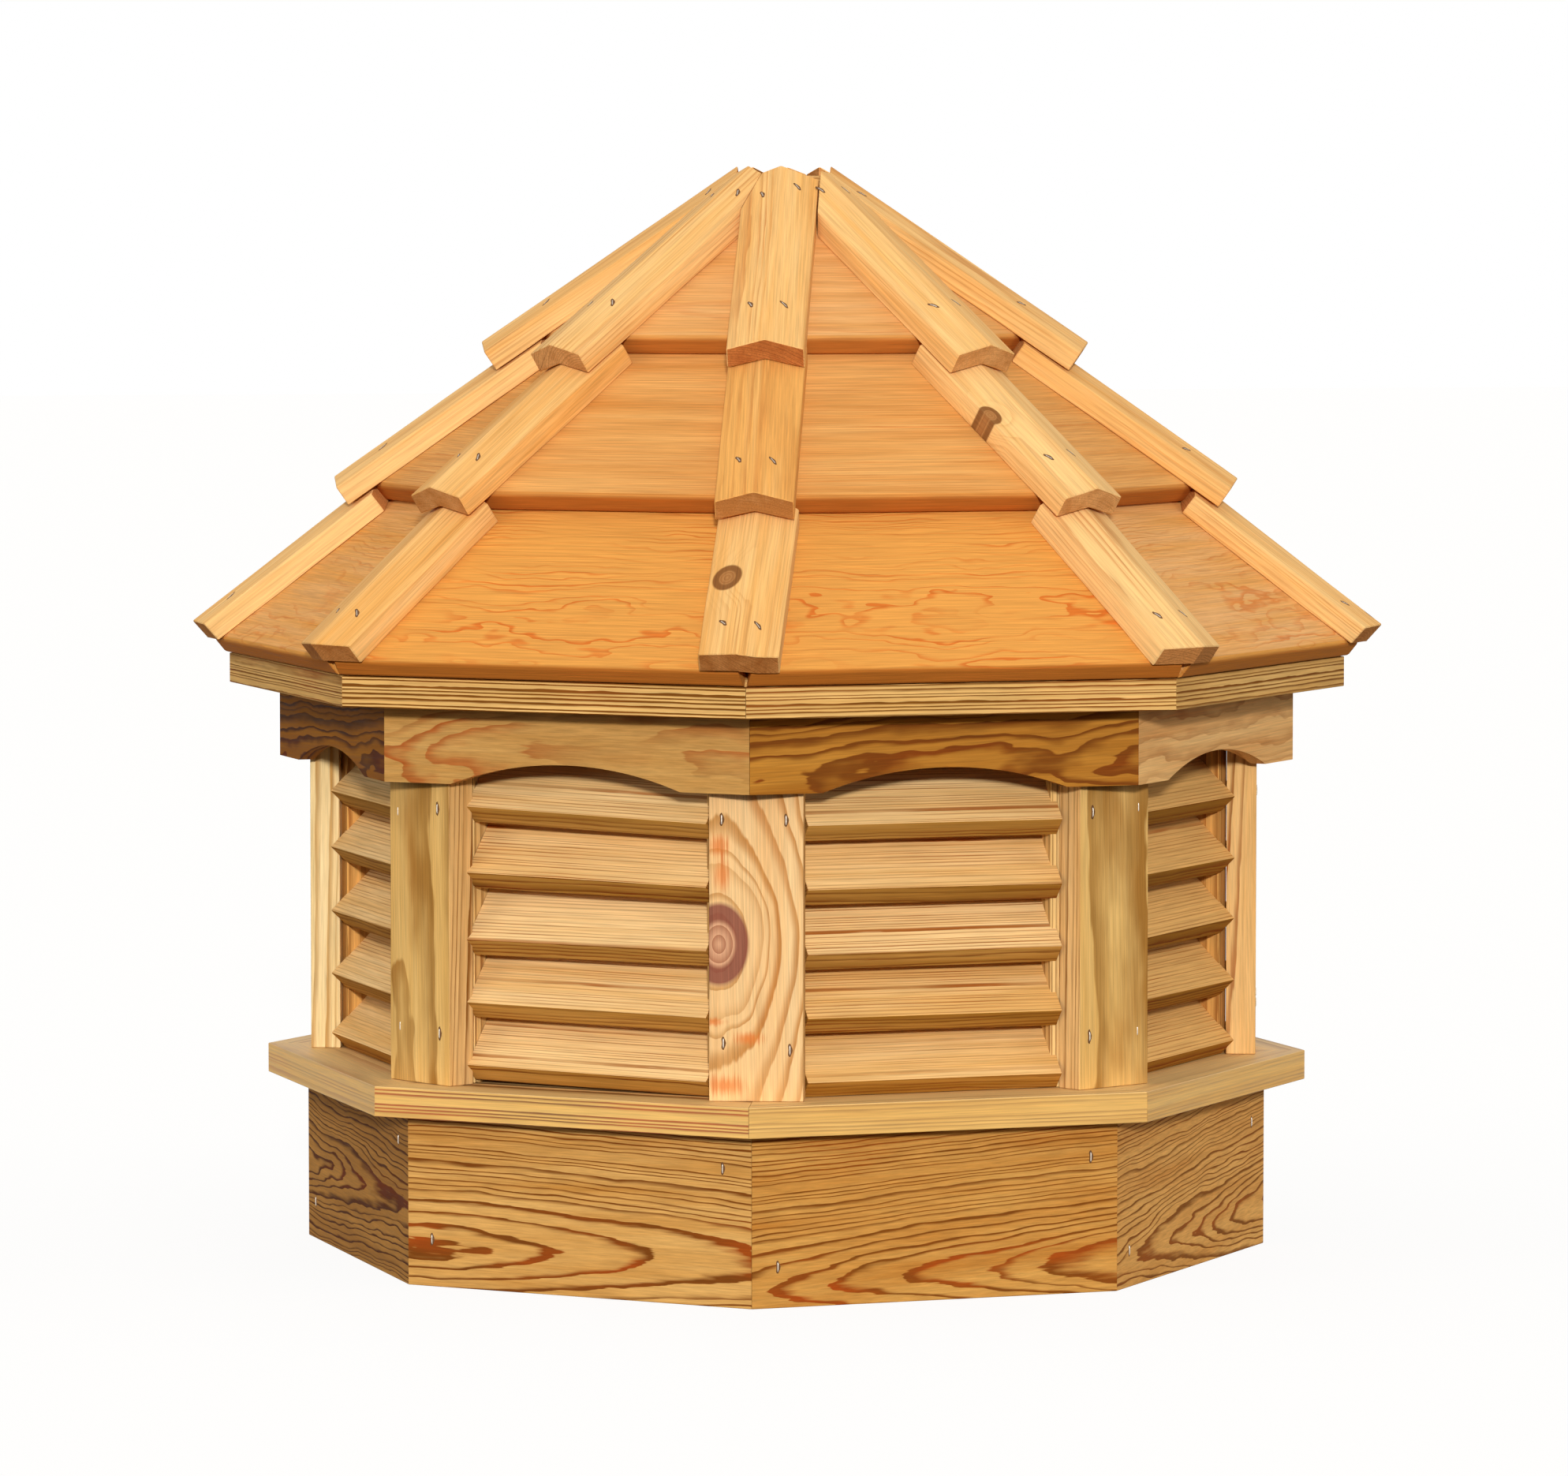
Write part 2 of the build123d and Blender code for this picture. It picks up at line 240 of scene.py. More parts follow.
def side_grain(turns, heart, tilt=(0, 0), tone=(1, 0, 0)):
    """Grain of a board that lies along one side: the side is turned to face -Y, so the point is
    (along, -distance from the axis, height) less the tree's heart, turned by a small tilt."""
    def build(tree):
        at = put(tree, "TexCoord")["Object"]
        faced = put(tree, "Mapping", {
            "Vector": at, "Rotation": (0, 0, -turns * TURN), "Location": tuple(-MM * h for h in heart)})[0]
        leaned = put(tree, "VectorRotate", {"Vector": faced, "Rotation": (0, tilt[0], tilt[1])},
                     rotation_type="EULER_XYZ")[0]
        mood = put(tree, "CombineXYZ", dict(enumerate(tone)))[0]
        return leaned, mood, put(tree, "CombineXYZ", {0: KNOT_FREE, 1: KNOT_FREE})[0]
    return build


HALF_GREY = (0.5, 0.5, 0.5)  # middle of a noise, taken off so that it sways both ways
PAINTED_BUTT_SHADE, PAINTED_BUTT_BLUR = 2.5, 2.0  # painted shade that a sawn butt gets, and mm either way where it comes in
SEED_STEP = 0.37  # keeps the sides' random numbers off the whole ones


def ring_grain(heart, spread, pitch=0.0, corner=0.0, tone=(1, 0, 0), tone_spread=(0, 0, 0),
               odd_turns=-1.0, odd_reach=0.5, odd_tone=(0, 0, 0), butt=-9000.0):
    """Grain of a ring of eight boards: the nearest side's whole turns are taken off, then the
    pitch, and each side's heart is moved by its own random share of the spread, which the heart's
    first number seeds. The sides within the odd reach of the odd turns come from another tree and
    add their own tone. Below the butt, a distance up the slope, the shade goes past one: painted
    shade on the sawn edge, which faces down away from the light."""
    def build(tree):
        at = put(tree, "TexCoord")["Object"]
        split = put(tree, "SeparateXYZ", {0: at})
        back = put(tree, "Math", {0: split["Y"], 1: -1.0}, operation="MULTIPLY")[0]
        angle = put(tree, "Math", {0: split["X"], 1: back}, operation="ARCTAN2")[0]
        turns = put(tree, "Math", {0: angle, 1: 1 / TURN, 2: corner}, operation="MULTIPLY_ADD")[0]
        whole = put(tree, "Math", {0: turns}, operation="ROUND")[0]
        off = put(tree, "Math", {0: whole, 1: -TURN, 2: corner * TURN}, operation="MULTIPLY_ADD")[0]
        faced = put(tree, "VectorRotate", {"Vector": at, "Axis": (0, 0, 1), "Angle": off})[0]
        sloped = put(tree, "VectorRotate", {"Vector": faced, "Axis": (1, 0, 0), "Angle": -pitch})[0]
        number = put(tree, "Math", {0: whole, 1: float(SIDES)}, operation="FLOORED_MODULO")[0]
        number = put(tree, "Math", {0: number, 1: SEED_STEP + abs(heart[0])}, operation="ADD")[0]
        chance = put(tree, "TexWhiteNoise", {"W": number}, noise_dimensions="1D")["Color"]
        chance = put(tree, "VectorMath", {0: chance, 1: HALF_GREY}, operation="SUBTRACT")[0]
        moved = put(tree, "VectorMath", {
            0: chance, 1: tuple(-2 * MM * s for s in spread), 2: sloped}, operation="MULTIPLY_ADD")[0]
        middle = tuple(MM * h for h in heart)
        centred = put(tree, "VectorMath", {0: moved, 1: middle}, operation="SUBTRACT")[0]
        mood = put(tree, "VectorMath", {0: chance, 1: tuple(2 * s for s in tone_spread), 2: tone},
                   operation="MULTIPLY_ADD")[0]
        odd = put(tree, "Math", {0: whole, 1: odd_turns, 2: odd_reach}, operation="COMPARE")[0]
        mood = put(tree, "VectorMath", {0: odd, 1: odd_tone, 2: mood}, operation="MULTIPLY_ADD")[0]
        up_slope = put(tree, "SeparateXYZ", {0: sloped})["Y"]
        # Painted shade: below the butt the shade goes past one and darkens the sawn edge.
        sawn = put(tree, "MapRange", {
            0: up_slope, 1: (butt - PAINTED_BUTT_BLUR) * MM, 2: (butt + PAINTED_BUTT_BLUR) * MM, 3: PAINTED_BUTT_SHADE, 4: 0.0})[0]
        sawn = put(tree, "CombineXYZ", {1: sawn})[0]
        mood = put(tree, "VectorMath", {0: mood, 1: sawn}, operation="ADD")[0]
        return centred, mood, put(tree, "CombineXYZ", {0: KNOT_FREE, 1: KNOT_FREE})[0]
    return build


# Patterns in waves a metre along and across the grain, from real sizes in mm.
FRAY = (26, 330, 330)  # ragged ring edges: 38 long, 3 wide
FIBRE = (16, 750, 750)  # bundles of fibre: 62 long, 1.3 wide, twice as coarse as real so they show
STAIN = (3.5, 70, 70)  # slow change of tone: 290 long, 14 wide
CLOUD = (7, 19, 19)  # where latewood is bold or faint: 140 long, 53 wide


def span(start, full):
    """Range sockets: where an effect starts and where it is full."""
    return {1: start, 2: full}


SWAY_GAIN = 2.4  # a noise strays about 0.2, so the sway is half its given mm
GROWTH_RATE, GROWTH_SWING = 0.31, 2.6  # good years come every 3 rings, and shift the count
YEARS = {3: 0.6, 4: 1.15}  # latewood from a poor to a good year
LATE_PEAK = 0.93  # share of a ring at which its latewood is darkest
FAINT = span(0.4, 0.58)  # cloud from faint to full latewood
FLAMES = span(0.42, 0.62)  # cloud over which latewood opens into flames
LEVEL_SAW = span(0.12, 0.55)  # sine between face and rings, from all flames to none
TONE_SPAN = span(0.3, 0.75)  # stain plus shade, from pale to deep
FIBRE_SPAN = span(0.3, 0.7)  # a fine noise seldom leaves this
FIBRE_TONE = {3: 0.78, 4: 1.11}  # from its darkest to its palest streaks
PAINTED_SHADE_SPAN = span(1.2, 2.2)  # shade past deep, over which painted shade comes in
PAINTED_SHADE_KEEP = (0.7, 0.5, 0.32, 1)  # share of its colour that wood keeps under full painted shade
LATE_RELIEF, RELIEF, RELIEF_MM = 0.8, 0.35, 0.25  # latewood against fibre, strength, depth

# Knots, in radii of the knot.
KNOT_SWELL, KNOT_BULGE = span(0.4, 3.4), 2.5  # where rings swell round it, and by how many
KNOT_RINGS = 4.3  # its own rings in one radius
KNOT_RIM = span(0.5, 0.62)  # where its dark rim begins
KNOT_EDGE, KNOT_DEPTH = span(0.94, 1.06), 0.92  # its outer edge, and how fully it covers
SWIRL_MM, SWIRL_SWAY = 24, 0.9  # ring distance in a radius where rings circle it, and sway
RESIN, RESIN_DEPTH = "#E07832", 0.75
RESIN_FRAY, RESIN_EDGE = 2.2, span(1.4, 2.1)  # drawn out by the fibre, and its soft edge


def streaks(tree, grain, waves, detail=2.0, roughness=0.5):
    """Noise drawn out along the grain, with so many waves a metre along and across it."""
    drawn = put(tree, "VectorMath", {0: grain, 1: waves}, operation="MULTIPLY")[0]
    return put(tree, "TexNoise", {"Vector": drawn, "Scale": 1.0, "Detail": detail, "Roughness": roughness})


def knot_swirl(tree, knot, drift, squash, reach):
    """Ring distance where rings circle a knot: the length of (squash reach tanh(x / reach), y) of
    the knot point, plus a sway, in knot radii. Far up the board it levels off and rings run straight."""
    parts = put(tree, "SeparateXYZ", {0: knot})
    far = put(tree, "Math", {0: parts["X"], 1: 1 / reach}, operation="MULTIPLY")[0]
    far = put(tree, "Math", {0: far}, operation="TANH")[0]
    far = put(tree, "Math", {0: far, 1: squash * reach}, operation="MULTIPLY")[0]
    near = put(tree, "CombineXYZ", {0: far, 1: parts["Y"]})[0]
    near = put(tree, "VectorMath", {0: near}, operation="LENGTH")["Value"]
    shift = put(tree, "SeparateXYZ", {0: drift})["X"]
    near = put(tree, "Math", {0: shift, 1: SWIRL_SWAY, 2: near}, operation="MULTIPLY_ADD")[0]
    return put(tree, "Math", {0: near, 1: SWIRL_MM * MM}, operation="MULTIPLY")[0]


def saw_level(tree, bent, radius):
    """Sine of the angle between the nearer board face and the rings: the least of |y| and |z| over
    the distance from the heart."""
    slope = put(tree, "VectorMath", {0: bent, 1: radius}, operation="DIVIDE")[0]
    slope = put(tree, "VectorMath", {0: slope}, operation="ABSOLUTE")[0]
    slope = put(tree, "SeparateXYZ", {0: slope})
    return put(tree, "Math", {0: slope["Y"], 1: slope["Z"]}, operation="MINIMUM")[0]


def latewood(tree, grain, radius, ring, width, ragged):
    """How dark a ring is: distance over ring size is counted in years, shifted by slow growth and
    frayed. Each year darkens over its last width share, ends sharply, and has its own vigour."""
    years = put(tree, "Math", {0: radius, 1: 1 / (ring * MM)}, operation="MULTIPLY")[0]
    growth = put(tree, "TexNoise", {"W": years, "Scale": GROWTH_RATE, "Detail": 1.0},
                 noise_dimensions="1D")["Fac"]
    years = put(tree, "Math", {0: growth, 1: GROWTH_SWING, 2: years}, operation="MULTIPLY_ADD")[0]
    fray = streaks(tree, grain, FRAY)["Fac"]
    years = put(tree, "Math", {0: fray, 1: ragged / ring, 2: years}, operation="MULTIPLY_ADD")[0]
    season = put(tree, "Math", {0: years}, operation="FRACT")[0]
    year = put(tree, "Math", {0: years}, operation="FLOOR")[0]
    vigour = put(tree, "TexWhiteNoise", {"W": year}, noise_dimensions="1D")["Value"]
    vigour = put(tree, "MapRange", {0: vigour, **YEARS})[0]
    rise = put(tree, "MapRange", {0: season, 1: LATE_PEAK - width, 2: LATE_PEAK},
               interpolation_type="SMOOTHSTEP")[0]
    fall = put(tree, "MapRange", {0: season, 1: LATE_PEAK, 2: 1.0, 3: 1.0, 4: 0.0},
               interpolation_type="SMOOTHSTEP")[0]
    late = put(tree, "Math", {0: rise, 1: fall}, operation="MULTIPLY")[0]
    return put(tree, "Math", {0: late, 1: vigour}, operation="MULTIPLY")[0]


def resin_patch(tree, colour, knot, fibre, along, across, long_way, short_way):
    """Lays one soft orange oval of resin over a colour, drawn out by the fibre."""
    spot = put(tree, "VectorMath", {0: knot, 1: (along, across, 0)}, operation="SUBTRACT")[0]
    shape = (1 / long_way, 1 / short_way, 0)
    spot = put(tree, "VectorMath", {0: spot, 1: shape}, operation="MULTIPLY")[0]
    spot = put(tree, "VectorMath", {0: spot}, operation="LENGTH")["Value"]
    spot = put(tree, "Math", {0: fibre, 1: RESIN_FRAY, 2: spot}, operation="MULTIPLY_ADD")[0]
    spot = put(tree, "MapRange", {0: spot, **RESIN_EDGE, 3: RESIN_DEPTH, 4: 0.0})[0]
    return put(tree, "Mix", {0: spot, 6: colour, 7: linear(RESIN)}, data_type="RGBA")[2]


def knot_face(tree, colour, away, heart, line, rim):
    """Lays the knot over a colour: its own fine rings from heart to line colour, and a dark rim."""
    age = put(tree, "Math", {0: away, 1: KNOT_RINGS}, operation="MULTIPLY")[0]
    age = put(tree, "Math", {0: age}, operation="FRACT")[0]
    core = put(tree, "Mix", {0: age, 6: linear(heart), 7: linear(line)}, data_type="RGBA")[2]
    bark = put(tree, "MapRange", {0: away, **KNOT_RIM})[0]
    core = put(tree, "Mix", {0: bark, 6: core, 7: linear(rim)}, data_type="RGBA")[2]
    inside = put(tree, "MapRange", {0: away, **KNOT_EDGE, 3: KNOT_DEPTH, 4: 0.0})[0]
    return put(tree, "Mix", {0: inside, 6: colour, 7: core}, data_type="RGBA")[2]


def sawn_wood(name, grain_of=carried_grain, *, pale, deep, line, flame, ring=4.5, wander=4.0,
              wave=(5, 16), width=0.5, rough=(0.66, 0.8), swirl=None, fade=0.3, polish=0.08,
              ragged=1.3, painted_sheen_top=None, resin=(), knots=("#D9A27C", "#A8694C", "#8A4A3C")):
    """Softwood from the growth rings of its tree. Distance from the heart, bent by a slow wander,
    is counted in rings of the given mm. Earlywood runs from pale to deep with the stain, latewood
    is line, and flame where the saw ran level with the rings. Fine fibres run along the board.
    Rings swell round a knot, or circle it where a swirl is given: its share of the ring distance
    and how far up the board it reaches. A painted sheen top is its height and the paler tone painted on
    that face for light grazing it.
    Resin lists ovals in knot points: centre along and across, radius along and across. The tone
    is contrast of the rings, shade from pale to deep, and share of flame."""
    material, tree = new_finish(name)
    grain, tone, knot = grain_of(tree)
    mood = put(tree, "SeparateXYZ", {0: tone})
    drift = streaks(tree, grain, (wave[0], wave[1], wave[1]), 3.0, 0.52)["Color"]
    drift = put(tree, "VectorMath", {0: drift, 1: HALF_GREY}, operation="SUBTRACT")[0]
    sway = SWAY_GAIN * wander * MM
    bent = put(tree, "VectorMath", {0: drift, 1: (0, sway, sway), 2: grain}, operation="MULTIPLY_ADD")[0]
    flat = put(tree, "VectorMath", {0: bent, 1: (0, 1, 1)}, operation="MULTIPLY")[0]
    radius = put(tree, "VectorMath", {0: flat}, operation="LENGTH")["Value"]
    level = saw_level(tree, bent, radius)
    away = put(tree, "VectorMath", {0: knot}, operation="LENGTH")["Value"]
    if swirl:
        radius = knot_swirl(tree, knot, drift, *swirl)
    else:
        swell = put(tree, "MapRange", {0: away, **KNOT_SWELL, 3: KNOT_BULGE * ring * MM, 4: 0.0},
                    interpolation_type="SMOOTHERSTEP")[0]
        radius = put(tree, "Math", {0: radius, 1: swell}, operation="ADD")[0]
    late = latewood(tree, grain, radius, ring, width, ragged)
    cloud = streaks(tree, grain, CLOUD)["Fac"]
    clear = put(tree, "MapRange", {0: cloud, **FAINT, 3: 1.0 - fade, 4: 1.0})[0]
    late = put(tree, "Math", {0: late, 1: clear}, operation="MULTIPLY")[0]
    late = put(tree, "Math", {0: late, 1: mood["X"]}, operation="MULTIPLY", use_clamp=True)[0]
    fibre = streaks(tree, grain, FIBRE, 3.0, 0.62)["Fac"]
    stain = streaks(tree, grain, STAIN, 3.0, 0.55)["Fac"]

    share = put(tree, "Math", {0: stain, 1: mood["Y"]}, operation="ADD")[0]
    share = put(tree, "MapRange", {0: share, **TONE_SPAN})[0]
    early = put(tree, "Mix", {0: share, 6: linear(pale), 7: linear(deep)}, data_type="RGBA")[2]
    # Painted shade: a shade past deep multiplies the colour down, for butts and recesses that light hardly
    # reaches.
    painted_shade = put(tree, "MapRange", {0: mood["Y"], **PAINTED_SHADE_SPAN})[0]
    early = put(tree, "Mix", {0: painted_shade, 6: early, 7: PAINTED_SHADE_KEEP}, data_type="RGBA", blend_type="MULTIPLY")[2]
    # Painted sheen: a top face gets its own paler tone, standing in for light grazing it.
    if painted_sheen_top:
        top, painted_sheen_tone = painted_sheen_top
        high = put(tree, "SeparateXYZ", {0: put(tree, "TexCoord")["Object"]})["Z"]
        high = put(tree, "MapRange", {0: high, **span((top - 0.8) * MM, (top - 0.2) * MM)})[0]
        early = put(tree, "Mix", {0: high, 6: early, 7: linear(painted_sheen_tone)}, data_type="RGBA")[2]
    open_grain = put(tree, "MapRange", {0: level, **LEVEL_SAW, 3: 1.0, 4: 0.0})[0]
    spread = put(tree, "MapRange", {0: cloud, **FLAMES})[0]
    burn = put(tree, "Math", {0: open_grain, 1: spread}, operation="MULTIPLY")[0]
    burn = put(tree, "Math", {0: burn, 1: mood["Z"]}, operation="ADD", use_clamp=True)[0]
    dark = put(tree, "Mix", {0: burn, 6: linear(line), 7: linear(flame)}, data_type="RGBA")[2]
    colour = put(tree, "Mix", {0: late, 6: early, 7: dark}, data_type="RGBA")[2]
    for oval in resin:
        colour = resin_patch(tree, colour, knot, fibre, *oval)
    colour = knot_face(tree, colour, away, *knots)
    streak = put(tree, "MapRange", {0: fibre, **FIBRE_SPAN, **FIBRE_TONE})[0]
    colour = put(tree, "Mix", {0: 1.0, 6: colour, 7: streak}, data_type="RGBA", blend_type="MULTIPLY")[2]

    height = put(tree, "Math", {0: late, 1: LATE_RELIEF, 2: fibre}, operation="MULTIPLY_ADD")[0]
    bump = put(tree, "Bump", {"Height": height, "Strength": RELIEF, "Distance": RELIEF_MM * MM})[0]
    gloss = put(tree, "MapRange", {0: fibre, **FIBRE_SPAN, 3: rough[0], 4: rough[1]})[0]
    shader = put(tree, "BsdfPrincipled", {"Base Color": colour, "Roughness": gloss, "Normal": bump,
                                          "IOR": 1.5, "Specular IOR Level": polish})[0]
    put(tree, "OutputMaterial", {"Surface": shader})
    return material


def finish_node(node, material):
    """Gives a kept node its wood."""
    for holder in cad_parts[node].material_slots:
        holder.material = material


# Planed softwoods, left bare: satin to matt, bands of two tones, fine streaks of fibre.
# Southern yellow pine: honey earlywood, brown latewood, rusty flames.
HONEY = dict(pale="#E0AC62", deep="#C4873C", line="#74410F", flame="#AC4A12")
SAND = dict(HONEY, pale="#DEAE66", deep="#C28E4A")
AMBER = dict(pale="#D69E50", deep="#BC7A30", line="#7A4610", flame="#B04A10")
UMBER = dict(pale="#C68E48", deep="#A47034", line="#4A2607", flame="#6A2C06")
WALNUT = dict(pale="#A86C22", deep="#8C5418", line="#3E1E04", flame="#5E2604")
RUSSET = dict(pale="#C08230", deep="#A2621A", line="#7A430F", flame="#8A3F0D")
SORREL = dict(pale="#E6AC60", deep="#D09048", line="#84501E", flame="#9A5320")
GOLD = dict(pale="#E4B25C", deep="#CC9238", line="#80500F", flame="#B05A18")
WHEAT = dict(pale="#EABA70", deep="#D09A50", line="#7A4A14", flame="#A85420")
PINK = dict(pale="#F4C27E", deep="#E4A662", line="#A6642A", flame="#B8622C")
OLIVE = dict(pale="#E8BC72", deep="#D8A456", line="#A07030", flame="#B07834")
STRAW = dict(pale="#EABD7C", deep="#D8A058", line="#8E5C26", flame="#A8561E")
# Cedar: golden tan with orange flames.
CEDAR = dict(pale="#E6AC6C", deep="#E09A48", line="#CC7A32", flame="#D4722A")
TAN_CEDAR = dict(pale="#E2A45C", deep="#D08A42", line="#BC6C28", flame="#C4601C")
ROSE_CEDAR = dict(TAN_CEDAR, pale="#E4AA6A", deep="#D8964E")
# White pine and spruce: pale cream, faint lines.
CREAM = dict(pale="#F2C27E", deep="#E6A658", line="#C27C34", flame="#BE6A28")

# ---- Skirt, valance, sill and eave plate ----
# Flat-sawn yellow pine: bold brown arches low on each board, with fine straight lines above.
# Board: the tree's heart along, out and up, its tilt, shade, colours.
skirt_trees = {
    1: ((0, -334, 20), (0.04, 0.06), 0.0, AMBER),
    2: ((0, -348, 30), (0.06, 0.09), 0.0, SORREL),
    3: ((0, -300, 60), (0.0, 0.02), 0.0, HONEY),
    4: ((0, -330, 90), (0.03, 0.0), 0.0, AMBER),
    5: ((0, -310, 40), (-0.03, 0.0), 0.0, HONEY),
    6: ((0, -290, 70), (0.02, 0.0), 0.0, RUSSET),
    7: ((0, -346, 66), (-0.02, -0.05), 0.1, UMBER),
    8: ((120, -320, 36), (0.0, -0.04), 0.0, HONEY),
}
skirt_wander = {2: 9.4, 7: 9.4}  # wilder than the 4.4 of the rest
for number, (heart, tilt, shade, colours) in skirt_trees.items():
    finish_node(f"skirt_board_{number}", sawn_wood(
        f"planed_yellow_pine_skirt_{number}",
        side_grain(number - 1, heart, tilt, (1.6, shade, 0.1)),
        ring=3.8, wander=skirt_wander.get(number, 4.4), wave=(6, 20), width=0.36, fade=0.2, **colours))

# Yellow pine sawn near the bark: wide wandering bands that open into flames.
# Board: heart, tilt, shade, contrast, colours.
valance_trees = {
    1: ((300, -365, 446), (0.04, 0.02), 0.0, 1.6, RUSSET),
    2: ((900, -330, 500), (0.02, 0.0), 0.0, 0.5, PINK),
    7: ((500, -362, 440), (0.04, 0.0), 0.1, 1.2, WALNUT),
    8: ((1300, -350, 436), (0.0, 0.05), 0.18, 0.8, SAND),
}
valance_fade = {8: 0.9}  # patchier than the 0.3 of the rest
for number in range(1, SIDES + 1):
    usual = ((1700 + 400 * number, -330, 450), (0.02, 0.02), 0, 1, HONEY)
    heart, tilt, shade, contrast, colours = valance_trees.get(number, usual)
    finish_node(f"valance_board_{number}", sawn_wood(
        f"planed_yellow_pine_valance_{number}",
        side_grain(number - 1, heart, tilt, (contrast, shade, 0.1)),
        ring=5.2, wander=7.5, wave=(9, 24), width=0.6, fade=valance_fade.get(number, 0.3), **colours))

sill_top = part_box("sill")[1][2] / MM
eave_bottom, eave_top = (corner[2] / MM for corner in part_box("eave_plate"))
# Edge-sawn yellow pine: even pencil lines round the edge. Its planed top has a faint real sheen,
# and is painted paler and pinker as well: a painted sheen where light grazes it.
finish_node("sill", sawn_wood(
    "planed_yellow_pine_sill",
    ring_grain((2.0, -380, 60), (4000, 25, 20), tone=(0.6, -0.08, 0.1), tone_spread=(0.2, 0.1, 0.1),
               odd_tone=(1.7, 0, 0)),
    ring=4.4, wander=1.6, wave=(3, 14), width=0.6, rough=(0.5, 0.62), polish=0.7,
    painted_sheen_top=(sill_top, "#EEC47C"), **GOLD))
# Quarter-sawn yellow pine: close, dark, almost straight lines.
finish_node("eave_plate", sawn_wood(
    "planed_yellow_pine_eave_plate",
    ring_grain((5.0, -400, 380), (4000, 25, 25), tone=(1.6, -0.1, 0.0), tone_spread=(0.3, 0.1, 0.1),
               odd_tone=(1.2, 0, 0)),
    ring=3.2, wander=1.2, wave=(3, 14), width=0.55, fade=0.1, **WHEAT))

# ---- Roof boards and framing ----
# Planed cedar: close faint rings, waving into small orange flames on the lowest course. The sawn
# butts get painted shade, darker where they face down away from the light.
PITCHES = [radians(angle) for angle in (39.9, 37.2, 36.4)]
painted_butt_shade_reach = 8  # mm of each board's foot that gets painted shade
roof_trees = (
    # name, heart up the slope and below the face, ring, wander, wave, contrast, near sides' tone,
    # colours
    ("lower", 58, -150, 2.6, 6.0, (9, 24), 0.6, (0.5, 0.45, 0.2), CEDAR),
    ("middle", -170, -40, 2.6, 1.2, (5, 20), 0.45, (0, 0, 0), TAN_CEDAR),
    ("upper", 50, -80, 3.6, 3.0, (8, 24), 0.35, (0, 0, 0), ROSE_CEDAR),
)
for course, (name, up_slope, below, ring, wander, wave, contrast, near, colours) in enumerate(roof_trees):
    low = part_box(f"roof_boards_{name}")[0]
    foot_height, foot_reach = low[2] / MM, -low[1] / MM
    sine, cosine = sin(PITCHES[course]), cos(PITCHES[course])
    foot = foot_height * sine - foot_reach * cosine
    heart = (7.0 + course, foot + up_slope, foot_height * cosine + foot_reach * sine + below)
    finish_node(f"roof_boards_{name}", sawn_wood(
        f"planed_cedar_{name}_course",
        ring_grain(heart, (4000, 10, 8), pitch=PITCHES[course], tone=(contrast, 0, 0.2),
                   tone_spread=(0.1, 0.1, 0.2), odd_turns=-0.5, odd_reach=0.6, odd_tone=near,
                   butt=foot + painted_butt_shade_reach),
        ring=ring, wander=wander, wave=wave, width=0.36, ragged=0.7, fade=0.8, **colours))

# Spruce framing straight off the saw: pale, dull and plain.
rough_spruce = dict(CREAM, ring=3.6, wander=2.0, rough=(0.7, 0.85))
finish_node("hip_rafters", sawn_wood(
    "rough_sawn_spruce_rafters", ring_grain((11.0, -200, 500), (4000, 60, 60), corner=0.5), **rough_spruce))
finish_node("peak_block", sawn_wood(
    "rough_sawn_spruce_block", side_grain(0, (0, -40, 800)), **rough_spruce))

# ---- Posts ----
# Flat-sawn yellow pine: broad soft bands on the faces, close straight lines on the edges. One post
# has a large knot with rings right round it and patches of resin; one is pale and plain.
post_pine = sawn_wood("planed_yellow_pine_posts",
                      ring=13.0, wander=11.0, wave=(6, 16), width=0.6, **OLIVE)
pale_post = sawn_wood("planed_pale_pine_posts", ring=8.0, wander=5.0, wave=(5, 18),
                      pale="#F2D6A0", deep="#E0BE7E", line="#B98C4C", flame="#C08A48")
post_side = sawn_wood("planed_yellow_pine_post_sides",
                      ring=4.0, wander=1.6, wave=(3, 18), width=0.4, **STRAW)
knotty_pine = sawn_wood("planed_knotty_pine_post", ring=10.0, wander=5.0, wave=(7, 14),
                        pale="#F0C68C", deep="#E8B272", line="#B87A34", flame="#C48040", swirl=(0.9, 3.4),
                        resin=((1.7, 0.1, 0.5, 0.35), (2.4, 0.0, 0.35, 0.5), (-3.45, 0.2, 0.3, 0.8),
                               (-2.3, 1.0, 0.2, 0.6), (-1.9, -0.2, 0.12, 0.5)))
posts = {number: dict(shift=0.0, twist=0.0, heart=(0, -50), contrast=1.0, knot=None,
                      woods=(post_pine, post_side)) for number in range(1, SIDES + 1)}
posts[1].update(shift=3.2, heart=(8, -60), contrast=0.9, knot=(127, -30, 33, 24),
                woods=(knotty_pine, post_side))
posts[2].update(shift=3.2, twist=-1.0, heart=(14, -46))  # twist in degrees
posts[3].update(heart=(60, -30), woods=(post_side, post_side))
posts[7].update(heart=(30, -40), woods=(pale_post, pale_post))
posts[8].update(shift=6.4, twist=1.0, heart=(-16, -42))

